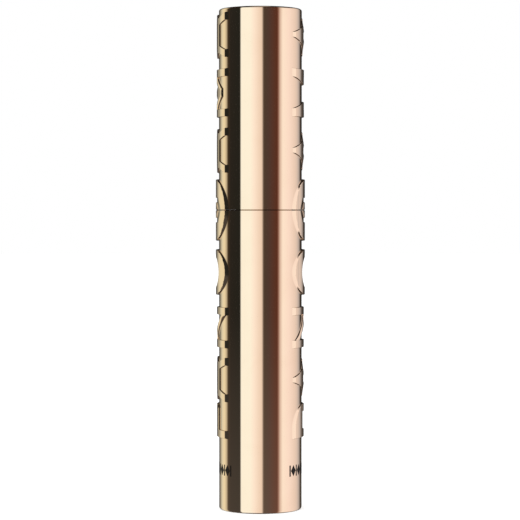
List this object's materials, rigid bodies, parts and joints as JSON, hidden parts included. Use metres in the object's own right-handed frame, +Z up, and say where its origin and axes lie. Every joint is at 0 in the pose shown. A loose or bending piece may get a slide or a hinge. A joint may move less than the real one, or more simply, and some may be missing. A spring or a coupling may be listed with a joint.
{
  "type": "mascara tube",
  "caption": "Tall cylindrical mascara tube with a screw cap, wand and brush, in mirror rose gold with a raised geometric ornament round its back.",
  "frame": {"origin": "centre of the round base, on the surface it stands on", "axes": "+Z up along the tube, -Y out of the smooth front, +Y out of the ornamented back"},
  "size_m": [0.0226, 0.0218, 0.1268],
  "materials": {
    "rose_gold_plating": "mirror metallised rose gold over moulded plastic",
    "black_plastic": "semi-gloss moulded",
    "natural_plastic": "translucent natural, soft",
    "washer_foam": "fine closed foam",
    "brush_elastomer": "satin moulded",
    "mascara_paste": "wet thick paste",
    "label_paper": "coated matt"
  },
  "bodies": {
    "bottle": {"bottle_shell": "rose_gold_plating", "base_label": "label_paper", "product_vial": "black_plastic", "shoulder_ring": "black_plastic", "neck_wiper": "natural_plastic", "mascara_formula": "mascara_paste"},
    "washer": {"seal_washer": "washer_foam"},
    "wand": {"wand_stem": "black_plastic"},
    "cap": {"cap_shell": "rose_gold_plating", "cap_liner": "black_plastic", "brush": "brush_elastomer"}
  },
  "joints": [
    {"name": "wand_pull", "type": "slide", "parent": "bottle", "child": "washer", "axis": [0, 0, 1], "range_m": [0, 0.095], "deforming": ["neck_wiper"]},
    {"name": "cap_rise", "type": "slide", "parent": "washer", "child": "wand", "axis": [0, 0, 1], "range_m": [0, 0.0032]},
    {"name": "cap_turn", "type": "hinge", "parent": "wand", "child": "cap", "pos_m": [0, 0, 0.1], "axis": [0, 0, 1], "range_deg": [0, 450]}
  ],
  "couplings": [
    {"joint": "cap_rise", "follows": "cap_turn", "m_per_rad": 0.00039789}
  ]
}
